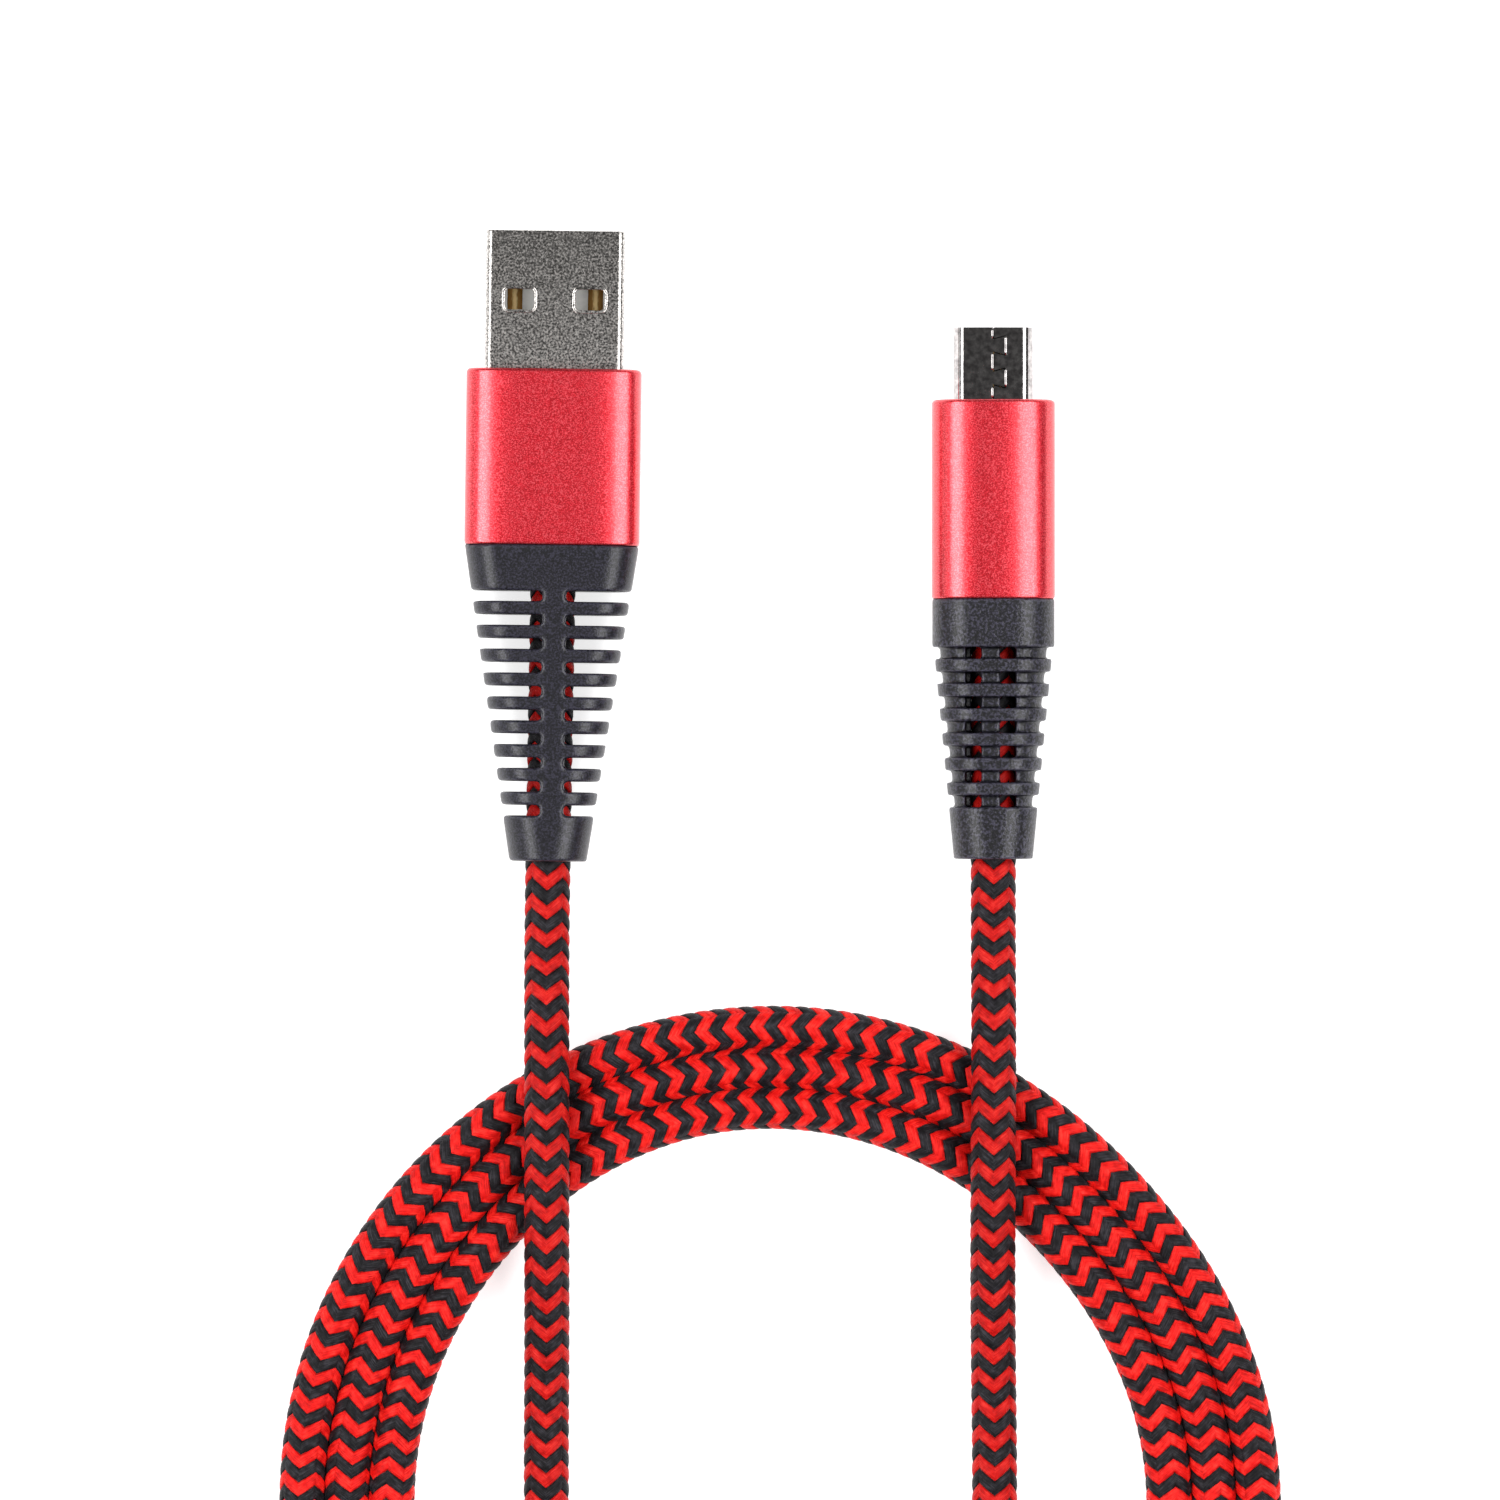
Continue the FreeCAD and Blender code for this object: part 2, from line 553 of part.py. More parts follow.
def micro_b_plug():
    bases = {f"micro_b_contact_{i + 1}_base": micro_b_contact_base(i) for i in range(5)}
    parts = {
        "micro_b_housing": micro_b_housing(),
        "micro_b_boot": micro_b_boot(),
        "micro_b_shell": micro_b_shell(),
        "micro_b_insulator": micro_b_insulator(bases),
        "micro_b_latch_left": micro_b_latch(-B_LATCH_X),
        "micro_b_latch_right": micro_b_latch(B_LATCH_X),
        "micro_b_cord_in_boot": rod(CORD_D / 2, 0, B_BRAID_END),
        "micro_b_cord_jacket_end": rod(JACKET_D / 2, B_BRAID_END, B_JACKET_END),
    }
    parts.update(bases)
    parts.update({f"micro_b_contact_{i + 1}_spring": micro_b_contact_spring(i) for i in range(5)})
    offset = (WIRE_D + B_CONTACT[1]) / 2
    tails = []
    for i in range(5):
        z = tail_height(i)
        tails.append(V(micro_b_contact_x(i), B_BLOCK_START - 0.8, z + math.copysign(offset, z)))
    jacket = parts["micro_b_cord_jacket_end"]
    metal = list(bases.values())
    wires = wires_to(tails, B_WIRES, jacket, metal)
    parts.update({"micro_b_wire_" + colour: wire for colour, wire in wires.items()})
    joints = solder_on(tails, B_WIRES, list(wires.values()) + metal)
    parts["micro_b_solder_joints"] = joints
    contents = [
        micro_b_envelope(0, B_SHELL_START, B_SHELL_END, 0.32),
        micro_b_envelope(B_SHELL_WALL + 0.03, B_BLOCK_START, B_SHELL_START + 0.1, 0.1),
        jacket,
    ]
    contents += list(wires.values()) + joints.Solids + metal
    parts["micro_b_inner_mould"] = inner_mould(b_bore_size(), B_NECK_END, B_HOUSING_END - 0.35, contents)
    return parts


# ---- the free cord ----
def coil_solid():
    """Outer shape of the coil: a flat ring with rounded rims."""
    ring = Part.makeCylinder(COIL_OUTER_R, COIL_HEIGHT).cut(Part.makeCylinder(COIL_INNER_R, COIL_HEIGHT))
    rims = [e for e in ring.Edges if e.BoundBox.ZLength < 0.1 and e.BoundBox.XLength > 1]
    ring = ring.makeFillet(COIL_EDGE, rims)
    ring.translate(COIL_CENTRE)
    return ring


def placed(parts, at, lean):
    for shape in parts.values():
        shape.rotate(V(0, 0, 0), V(0, 0, 1), lean)
        shape.translate(at)
    return parts


def main():
    os.makedirs("parts", exist_ok=True)
    parts = placed(usb_a_plug(), USB_A_AXIS, USB_A_LEAN)
    parts.update(placed(micro_b_plug(), MICRO_B_AXIS, 0))
    parts["cord_coil"] = coil_solid()
    for name, route in (("cord_from_usb_a", USB_A_ROUTE), ("cord_from_micro_b", MICRO_B_ROUTE)):
        solid, length, radii = tube(route, CORD_D / 2)
        parts[name] = solid
        expected = math.pi * CORD_D ** 2 / 4 * length
        print(name, "length", round(length, 1), "volume ratio", round(solid.Volume / expected, 4))
        print("  bend radii", [round(r, 1) for r in radii])
    for name, shape in sorted(parts.items()):
        if not shape.isValid() or not shape.Solids:
            print("NOT VALID", name, shape.ShapeType)
        shape.exportStep(f"parts/{name}.step")
    print(len(parts), "nodes")


main()
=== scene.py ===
import bpy
import math
import numpy as np
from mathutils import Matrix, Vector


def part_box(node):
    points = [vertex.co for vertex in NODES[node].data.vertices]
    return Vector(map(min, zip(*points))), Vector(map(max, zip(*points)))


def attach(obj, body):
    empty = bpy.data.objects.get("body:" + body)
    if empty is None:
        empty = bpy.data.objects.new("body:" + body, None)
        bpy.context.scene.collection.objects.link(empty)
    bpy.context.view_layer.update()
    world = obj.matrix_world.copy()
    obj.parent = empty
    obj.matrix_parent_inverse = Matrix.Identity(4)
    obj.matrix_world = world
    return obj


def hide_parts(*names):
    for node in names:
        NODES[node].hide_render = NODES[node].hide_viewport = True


# A braided charging cable lying in a coil, seen from straight above. Metres, in the CAD model's own frame.

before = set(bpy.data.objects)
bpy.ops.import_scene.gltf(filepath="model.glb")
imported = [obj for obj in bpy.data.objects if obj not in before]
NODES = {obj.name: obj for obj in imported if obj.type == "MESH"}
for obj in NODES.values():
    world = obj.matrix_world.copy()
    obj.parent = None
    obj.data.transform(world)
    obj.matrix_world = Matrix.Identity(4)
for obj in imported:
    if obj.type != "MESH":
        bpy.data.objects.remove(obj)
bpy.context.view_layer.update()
MM = 0.001

# ---- camera ----
PICTURE_WIDTH = 130.0 * MM         # across the picture, at the height of the shells
PICTURE_CENTRE = (-1.04 * MM, -17.74 * MM)
CAMERA_HEIGHT = 0.9
SHELL_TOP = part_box("usb_a_shell")[1][2]

# ---- cord ----
CORD_D = 4.0 * MM
CORE_R = 1.45 * MM
BRAID_SPREAD = 1.0                 # a leg's width for its height
COIL_SPREAD = 1.075                # a strand's width for the spacing in the coil, where they press together
YARN_WIDTH = 1.06 * MM
YARN_THICKNESS = 0.27 * MM
YARN_RELIEF = 0.07 * MM            # how far a yarn rises and dips in going over and under the others
YARN_R = CORD_D / 2 - YARN_THICKNESS / 2 - YARN_RELIEF
YARN_STEP = 0.18 * MM
YARN_BOW = 0.02                    # how far it is pushed aside between crossings, as an angle round the cord
YARNS_EACH_WAY = 8
YARN_STEEPNESS = 2.6               # how sharply a yarn passes from over to under
YARN_ACROSS = np.array([-1.0, -0.62, 0.0, 0.62, 1.0, 0.0])     # a yarn's section, in half widths
YARN_HEIGHT = np.array([0.0, 0.4, 0.5, 0.4, 0.0, -0.5])        # and in thicknesses
FIRST_OVER = {1: 67.5, -1: 112.5}  # where a yarn lies outermost, in degrees round the cord, for each way
LEG_LEAD, COIL_LEAD = 10.48 * MM, 9.593 * MM   # one turn of a yarn round the cord
BRAID_LEAN = math.atan(2 * math.pi * YARN_R / LEG_LEAD)
CORD_EXIT = (-18.6 * MM, -27.4 * MM, 3.9 * MM)

# ---- coil ----
COIL_CENTRE = (1.65 * MM, -83.3 * MM)
COIL_START, COIL_END = 283.0, 1270.0    # degrees round the coil
COIL_STEP = 15.0
LANE_SHIFT_START, LANE_SHIFT = 215.0, 47.0
LIE_Z = CORD_D / 2

USB_A_ROUTE = [
    (-0.01815, -0.0029, 0.0039),
    CORD_EXIT,
    (-0.0187, -0.0353, 0.0039),
    (-0.01865, -0.0435, 0.0062),
    (-0.01865, -0.0597, 0.0062),
    (-0.0187, -0.0699, 0.0032),
    (-0.0188, -0.0824, 0.0020),
    (-0.0186, -0.0987, 0.0020),
    (-0.0151, -0.1071, 0.0020),
    (-0.0086, -0.1136, 0.0020),
    (-0.0002, -0.1171, 0.0020),
]
MICRO_B_ROUTE = [
    (0.0201, -0.0082, 0.00385),
    (0.0201, -0.0272, 0.00385),
    (0.0201, -0.0352, 0.00385),
    (0.0201, -0.0432, 0.0062),
    (0.0200, -0.0591, 0.0062),
    (0.0201, -0.0694, 0.0032),
    (0.0203, -0.0819, 0.0020),
    (0.0201, -0.0941, 0.0034),
    (0.0182, -0.1046, 0.0060),
    (0.0129, -0.1134, 0.0063),
    (0.0046, -0.1190, 0.0062),
    (-0.0054, -0.1212, 0.0063),
    (-0.0156, -0.1200, 0.0062),
    (-0.0252, -0.1153, 0.0061),
    (-0.0329, -0.1076, 0.0050),
    (-0.0381, -0.0976, 0.0028),
]

# ---- plugs: each about its own axis, which runs along +Y from its boot's tail ----
USB_A_AXIS, USB_A_LEAN = (-18.6 * MM, -27.4 * MM, 3.9 * MM), math.radians(-0.75)
MICRO_B_AXIS, MICRO_B_LEAN = (20.1 * MM, -27.2 * MM, 3.85 * MM), 0.0

# how far the braid is turned about the cord: distance round the coil in degrees, turn in degrees
BRAID_TURNS = [
    (283, 0), (368, -16), (405, -21), (450, -33), (535, -56), (728, -110), (765, -111), (811, -134),
    (895, -169), (1088, -191), (1125, -186), (1170, -184), (1255, -190), (1270, -192),
]
BRAID_TURN_MICRO_B = -225
BRAID_TURN_SHARE = 0.6             # share of the last leg along which the braid turns to that
BLUR_REACH = 20                    # points on each side that a change along the cord is spread over
# how far the braid is pushed back along the cord: distance round the coil in degrees, push in yarns
BRAID_PUSHES = [(283, -0.2), (540, -0.2), (700, 0.58), (920, 0.58), (1060, -0.2), (1190, -0.2), (1270, 0.26)]
COIL_REACH = (12.0, 106.0)         # where the coil begins and ends along the cord, in steps of two diameters

# ---- plugs' visible pieces, in millimetres from the plug's axis ----
A_HOUSING_SIZE, A_HOUSING_ENDS, A_HOUSING_POWER = (15.2, 7.8), (27.45, 42.7), 4.5
B_HOUSING_SIZE, B_HOUSING_ENDS, B_HOUSING_POWER = (10.7, 7.7), (22.6, 39.85), 2.8
HOUSING_RIM = 0.35
HOUSING_TAIL_RIM = 0.4             # the rim at the boot's end, as a share of the other
A_WINDOW_X, A_WINDOW_Y = 3.05, 48.7
A_WINDOW, A_WINDOW_RADIUS = (3.1, 2.35), 0.65
A_RIM_WIDTH, A_RIM_HEIGHT = 0.28, 0.07
A_SHELL_HALF_HEIGHT = 2.25
B_SHELL_TOP = 0.9
B_EDGE_WIDTH, B_EDGE_HEIGHT, B_EDGE_TAPER = 0.22, 0.06, 0.3
B_SEAM_EDGES = [                   # across, and from where to where along the plug
    (-0.1, 45.2, 46.1), (1.06, 43.75, 45.45), (-0.1, 42.4, 44.0), (1.06, 40.95, 42.65), (-0.1, 39.95, 41.1),
]
BEAD_END = 0.25                    # a bead's width at its two ends, as a share

# ---- edges of the CAD parts ----
FLAT_ANGLE, EDGE_ANGLE = 0.5, 35.0  # degrees: faces joined as flat, and edges that are rounded
EDGE_SEGMENTS = 2
MOULD_SMOOTHING = 0.5

# ---- stage ----
FLOOR_HALF = 3                     # metres
FLOOR_GREY, FLOOR_GLOW = 0.62, 0.72
WORLD_GLOW = 0.08
LIGHT_AIM = (0, -0.02, 0)
LIGHTS = [                         # name, place, length along Y and width, power
    ("softbox_left", (-0.62, 0.0, 0.8), (1.4, 0.46), 11),
    ("softbox_right", (0.6, 0.0, 0.82), (1.4, 0.6), 12),
    ("wall_left", (-1.3, 0.0, 0.35), (1.8, 0.6), 2.5),
]


def smooth(x):
    """Eases from 0 to 1."""
    x = min(max(x, 0.0), 1.0)
    return x * x * (3 - 2 * x)


def bump(angle, middle, width):
    """Round hump of height 1 about an angle, in degrees."""
    away = (angle - middle + 180) % 360 - 180
    return math.exp(-((away / width) ** 2))


# ---- camera, first ----
def add_camera():
    data = bpy.data.cameras.new("camera")
    data.sensor_width = 36.0
    data.lens = data.sensor_width * CAMERA_HEIGHT / PICTURE_WIDTH
    data.clip_start, data.clip_end = 0.01, 10.0
    camera = bpy.data.objects.new("camera", data)
    camera.location = (*PICTURE_CENTRE, SHELL_TOP + CAMERA_HEIGHT)
    bpy.context.scene.collection.objects.link(camera)
    bpy.context.scene.camera = camera


# ---- the cord's line ----
def coil_edges(angle):
    """Inner and outer radius of the three strands side by side."""
    inner = 32.0 + 0.85 * bump(angle, 102, 28) - 0.65 * bump(angle, 38, 22)
    outer = 43.55 - 1.3 * bump(angle, 44, 27) - 0.28 * bump(angle, 88, 34)
    return inner * MM, outer * MM


def strand_width(angle):
    """Spacing of the strands."""
    inner, outer = coil_edges(angle)
    return (outer - inner) / 3


def lane(angle):
    """Which lane the cord is in, 0 to 2 from the inside; it changes lanes on the side away from the plugs."""
    turn = math.floor((angle - LANE_SHIFT_START) / 360)
    return turn - 1 + smooth((angle - LANE_SHIFT_START - 360 * turn) / LANE_SHIFT)


def coil_point(angle):
    radius = coil_edges(angle)[0] + (lane(angle) + 0.5) * strand_width(angle)
    a = math.radians(angle)
    return COIL_CENTRE[0] + radius * math.cos(a), COIL_CENTRE[1] + radius * math.sin(a), LIE_Z


def coil_controls():
    """Control points of the turns, pushed out so that the spline runs in the lanes."""
    count = round((COIL_END - COIL_START) / COIL_STEP)
    push = 8 / (6 + 2 * math.cos(math.radians(COIL_STEP)))
    points = []
    cx, cy = COIL_CENTRE
    for i in range(count + 1):
        x, y, z = coil_point(COIL_START + (COIL_END - COIL_START) * i / count)
        points.append((cx + (x - cx) * push, cy + (y - cy) * push, z))
    return points


def cord_curve():
    """The cord's core: a round curve along the whole route."""
    route = USB_A_ROUTE + coil_controls() + MICRO_B_ROUTE[::-1]
    curve = bpy.data.curves.new("cord_core", "CURVE")
    curve.dimensions = "3D"
    curve.resolution_u = 16
    spline = curve.splines.new("NURBS")
    spline.points.add(len(route) - 1)
    for point, place in zip(spline.points, route):
        point.co = (*place, 1.0)
    spline.order_u = 3
    spline.use_endpoint_u = True
    obj = bpy.data.objects.new("cord_core", curve)
    bpy.context.scene.collection.objects.link(obj)
    return obj


def read_line(obj):
    """Points of the curve's own line, in order."""
    bpy.context.view_layer.update()
    mesh = bpy.data.meshes.new_from_object(obj.evaluated_get(bpy.context.evaluated_depsgraph_get()))
    points = np.array([v.co for v in mesh.vertices])
    bpy.data.meshes.remove(mesh)
    return points


class Line:
    """The cord's centreline by distance along it, with a sideways and an upward direction at each point."""

    def __init__(self, points):
        steps = np.linalg.norm(np.diff(points, axis=0), axis=1)
        self.at = np.concatenate([[0.0], np.cumsum(steps)])
        self.length = self.at[-1]
        self.points = points
        ahead = np.gradient(points, self.at, axis=0)
        ahead /= np.linalg.norm(ahead, axis=1)[:, None]
        up = np.array([0.0, 0.0, 1.0]) - ahead * ahead[:, 2:3]
        self.up = up / np.linalg.norm(up, axis=1)[:, None]
        self.side = np.cross(ahead, self.up)
        around = points[:, :2] - np.array(COIL_CENTRE)
        self.angle = np.degrees(np.unwrap(np.arctan2(around[:, 1], around[:, 0])))

    def read(self, values, distance):
        """Values at any distance along the line."""
        if values.ndim == 1:
            return np.interp(distance, self.at, values)
        return np.stack([np.interp(distance, self.at, values[:, i]) for i in range(3)], axis=-1)


def lay_braid(line):
    """By distance along the cord: how far the yarns have wound, how far the braid is turned, and the width of
    the cord for its height."""
    first, last = (int(np.argmin(np.linalg.norm(line.points - np.array(coil_point(angle)), axis=1)))
                   for angle in (COIL_START, COIL_END))
    degrees = line.angle + COIL_START - line.angle[first]
    coil = slice(first, last + 1)
    width = np.full(len(line.at), BRAID_SPREAD)
    width[coil] = [COIL_SPREAD * strand_width(angle) / CORD_D for angle in degrees[coil]]
    line.width = blur(width)
    lead = np.full(len(line.at), LEG_LEAD)
    lead[coil] = COIL_LEAD
    wave = 2 * math.pi / blur(lead)
    line.wound = np.concatenate([[0.0], np.cumsum((wave[1:] + wave[:-1]) / 2 * np.diff(line.at))])
    push = np.interp(degrees, *zip(*BRAID_PUSHES))
    push[:first], push[last:] = BRAID_PUSHES[0][1], BRAID_PUSHES[-1][1]
    line.wound += 2 * math.pi / YARNS_EACH_WAY * push
    turn = np.interp(degrees, *zip(*BRAID_TURNS))
    turn[:first] = BRAID_TURNS[0][1]
    rise = (line.at[last:] - line.at[last]) / (BRAID_TURN_SHARE * (line.length - line.at[last]))
    turn[last:] = BRAID_TURNS[-1][1] + (BRAID_TURN_MICRO_B - BRAID_TURNS[-1][1]) * np.clip(rise, 0, 1)
    line.turn = np.radians(turn)


def blur(values):
    """Running mean along the cord."""
    count = 2 * BLUR_REACH + 1
    return np.convolve(np.pad(values, BLUR_REACH, mode="edge"), np.ones(count) / count, mode="valid")


def yarn_points(line, along, number, way):
    """Rings of points along a yarn: over two crossing yarns and under two, round the cord, way +1 or -1."""
    angle = way * line.read(line.wound, along) + 2 * math.pi * number / YARNS_EACH_WAY
    phase = YARNS_EACH_WAY // 2 * (angle - math.radians(FIRST_OVER[way]))
    lift = np.tanh(YARN_STEEPNESS * np.cos(phase)) / math.tanh(YARN_STEEPNESS)
    angle = angle + YARN_BOW * np.sin(phase)
    across = YARN_ACROSS * YARN_WIDTH / 2
    height = YARN_HEIGHT * YARN_THICKNESS
    s = np.clip(along[:, None] - way * across * math.sin(BRAID_LEAN), 0, line.length)
    phi = angle[:, None] + across * math.cos(BRAID_LEAN) / YARN_R + line.read(line.turn, s)
    r = YARN_R + lift[:, None] * YARN_RELIEF + height
    place, side, up = (line.read(v, s) for v in (line.points, line.side, line.up))
    wide = (r * np.cos(phi) * line.read(line.width, s))[..., None]
    tall = (r * np.sin(phi))[..., None]
    return (place + side * wide + up * tall).reshape(-1, 3)


def yarn_mesh(name, line, number, way):
    """One yarn as a closed tube, with UVs that run along the cord and round the yarn."""
    count = int(line.length / YARN_STEP)
    along = np.linspace(0.0, line.length, count)
    verts = yarn_points(line, along, number, way)
    ring = len(YARN_ACROSS)
    i = np.arange(count - 1)[:, None] * ring
    j = np.arange(ring)
    nxt = (j + 1) % ring
    quads = np.stack([i + j, i + nxt, i + ring + nxt, i + ring + j], axis=-1).reshape(-1, 4)
    ends = [list(range(ring))[::-1], [(count - 1) * ring + k for k in range(ring)]]
    mesh = bpy.data.meshes.new(name)
    mesh.from_pydata(verts.tolist(), [], quads.tolist() + ends)
    mesh.polygons.foreach_set("use_smooth", np.ones(len(mesh.polygons), dtype=bool))
    layer = mesh.uv_layers.new(name="UVMap")
    loops = np.empty(len(mesh.loops), dtype=np.int64)
    mesh.loops.foreach_get("vertex_index", loops)
    u = along[loops // ring] / (2 * CORD_D)
    v = (loops % ring) / ring
    layer.data.foreach_set("uv", np.stack([u, v], axis=-1).ravel())
    return mesh


# ---- materials ----
def principled(name, colour, **sockets):
    """A new material, with values for its shader's own sockets."""
    material = bpy.data.materials.new(name)
    material.use_nodes = True
    shader = material.node_tree.nodes["Principled BSDF"]
    shader.inputs["Base Color"].default_value = (*colour, 1.0)
    for socket, value in sockets.items():
        shader.inputs[socket.replace("_", " ").title().replace("Ior", "IOR")].default_value = value
    return material, material.node_tree, shader


def texture(tree, kind, scale, coords="Object", stretch=None, **inputs):
    """A texture on the piece's own coordinates, in cells per metre."""
    node = tree.nodes.new(f"ShaderNodeTex{kind}")
    node.inputs["Scale"].default_value = scale
    for key, value in inputs.items():
        node.inputs[key.replace("_", " ").title()].default_value = value
    place = tree.nodes.new("ShaderNodeTexCoord")
    source = place.outputs[coords]
    if stretch:
        mapping = tree.nodes.new("ShaderNodeMapping")
        mapping.inputs["Scale"].default_value = stretch
        tree.links.new(source, mapping.inputs["Vector"])
        source = mapping.outputs["Vector"]
    tree.links.new(source, node.inputs["Vector"])
    return node


def factor(node):
    """A texture's grey output."""
    return node.outputs["Fac"] if "Fac" in node.outputs else node.outputs[0]


def spread(tree, socket, low, high, from_low=0.3, from_high=0.7):
    """Maps a texture's value on to low to high."""
    node = tree.nodes.new("ShaderNodeMapRange")
    node.inputs["From Min"].default_value = from_low
    node.inputs["From Max"].default_value = from_high
    node.inputs["To Min"].default_value = low
    node.inputs["To Max"].default_value = high
    tree.links.new(socket, node.inputs["Value"])
    return node.outputs["Result"]


def add(tree, first, second):
    """Sum of two values."""
    node = tree.nodes.new("ShaderNodeMath")
    node.operation = "ADD"
    tree.links.new(first, node.inputs[0])
    tree.links.new(second, node.inputs[1])
    return node.outputs[0]


def ramp(tree, socket, stops):
    """Colours by value; each stop is a value and its colour."""
    node = tree.nodes.new("ShaderNodeValToRGB")
    elements = node.color_ramp.elements
    while len(elements) < len(stops):
        elements.new(0.5)
    for element, (where, colour) in zip(elements, stops):
        element.position = where
        element.color = (*colour, 1.0)
    tree.links.new(socket, node.inputs["Fac"])
    return node.outputs["Color"]


def in_coil(tree):
    """1 along the coil, 0 along the two legs."""
    along = tree.nodes.new("ShaderNodeSeparateXYZ")
    tree.links.new(tree.nodes.new("ShaderNodeTexCoord").outputs["UV"], along.inputs["Vector"])
    (leaves, arrives), blend = COIL_REACH, 2.0
    return add(tree, spread(tree, along.outputs["X"], 0.0, 1.0, leaves, leaves + blend),
               spread(tree, along.outputs["X"], 0.0, -1.0, arrives - blend, arrives))


def scaled(tree, colour, amount):
    """A colour made brighter or darker."""
    node = tree.nodes.new("ShaderNodeVectorMath")
    node.operation = "SCALE"
    tree.links.new(colour, node.inputs[0])
    tree.links.new(amount, node.inputs["Scale"])
    return node.outputs["Vector"]


def add_bump(tree, shader, socket, distance, strength):
    """Fine relief from a texture, on top of any that the shader has."""
    node = tree.nodes.new("ShaderNodeBump")
    node.inputs["Strength"].default_value = strength
    node.inputs["Distance"].default_value = distance
    tree.links.new(socket, node.inputs["Height"])
    before = shader.inputs["Normal"].links
    if before:
        tree.links.new(before[0].from_socket, node.inputs["Normal"])
    tree.links.new(node.outputs["Normal"], shader.inputs["Normal"])


def yarn_material(name, dark, mid, light, sheen, leg_painted_light, coil_painted_light):
    """Tightly laid filaments, which run along the yarn; the coil is painted brighter than the legs, as
    painted light.
    """
    material, tree, shader = principled(name, mid, roughness=0.5, sheen_weight=sheen, sheen_roughness=0.4)
    shader.inputs["Specular IOR Level"].default_value = 0.15
    filaments = factor(texture(tree, "Noise", 1.0, "UV", stretch=(10, 24, 1), detail=3.0, roughness=0.6))
    mottle = factor(texture(tree, "Noise", 1400.0, detail=2.0))
    colour = ramp(tree, add(tree, filaments, spread(tree, mottle, -0.15, 0.15)),
                  [(0.28, dark), (0.5, mid), (0.75, light)])
    # painted light: the coil's yarns are painted brighter than the legs' yarns
    tone = spread(tree, in_coil(tree), leg_painted_light, coil_painted_light, 0.0, 1.0)
    tree.links.new(scaled(tree, colour, tone), shader.inputs["Base Color"])
    tree.links.new(spread(tree, filaments, 0.62, 0.42), shader.inputs["Roughness"])
    add_bump(tree, shader, filaments, 0.05 * MM, 0.7)
    return material


def anodised_material():
    """Red anodised aluminium, blasted to a fine grain."""
    material, tree, shader = principled("red_anodised", (0.9, 0.04, 0.065), metallic=1.0, roughness=0.4,
                                        coat_weight=1.0, coat_roughness=0.22, coat_ior=1.62)
    shader.inputs["Specular Tint"].default_value = (0.6, 0.25, 0.3, 1.0)
    grain = factor(texture(tree, "Noise", 8500.0, detail=1.0, roughness=0.6))
    haze = factor(texture(tree, "Noise", 1800.0, detail=3.0))
    stops = [(0.35, (0.54, 0.009, 0.017)), (0.5, (0.86, 0.02, 0.04)), (0.65, (1.0, 0.12, 0.15))]
    tree.links.new(ramp(tree, grain, stops), shader.inputs["Base Color"])
    tree.links.new(spread(tree, haze, 0.38, 0.43), shader.inputs["Roughness"])
    add_bump(tree, shader, grain, 0.008 * MM, 0.8)
    return material


def nickel_material(name, dark, light, smoothest, roughest, grain_scale, grain_height, haze):
    """Plated sheet, with a haze that grows towards the plug's housing."""
    material, tree, shader = principled(name, light, metallic=1.0, roughness=roughest)
    grain = factor(texture(tree, "Noise", grain_scale, detail=2.0, roughness=0.6))
    tree.links.new(ramp(tree, grain, [(0.34, dark), (0.66, light)]), shader.inputs["Base Color"])
    place = tree.nodes.new("ShaderNodeSeparateXYZ")
    tree.links.new(tree.nodes.new("ShaderNodeTexCoord").outputs["Generated"], place.inputs["Vector"])
    total = add(tree, spread(tree, grain, smoothest, roughest, 0.36, 0.64),
                spread(tree, place.outputs["Y"], haze, 0.0, 0.35, 1.0))
    tree.links.new(total, shader.inputs["Roughness"])
    add_bump(tree, shader, grain, grain_height, 0.8)
    return material


def rubber_material(name, grain_scale, grain_height, contrast, tone=0.018):
    """Moulded rubber with a fine sparkle; its edges are painted lighter as painted highlights and its hollows
    darker as painted shade.
    """
    colour = np.array([1.0, 0.95, 1.4]) * tone
    material, tree, shader = principled(name, tuple(colour), roughness=0.36)
    shader.inputs["Specular IOR Level"].default_value = 0.45
    grain = factor(texture(tree, "Noise", grain_scale, detail=2.0, roughness=0.65))
    tree.links.new(spread(tree, grain, 0.38, 0.26), shader.inputs["Roughness"])
    # painted light: the mesh's pointiness paints convex edges lighter and hollows darker, mixed with the
    # random grain
    edges = tree.nodes.new("ShaderNodeNewGeometry").outputs["Pointiness"]
    grain_and_painted_light = add(tree, grain, spread(tree, edges, -0.16, 0.16, 0.44, 0.56))
    stops = [(0.38, tuple(colour / contrast)), (0.5, tuple(colour)), (0.62, tuple(colour * contrast))]
    tree.links.new(ramp(tree, grain_and_painted_light, stops), shader.inputs["Base Color"])
    add_bump(tree, shader, grain, grain_height, 0.7)
    return material


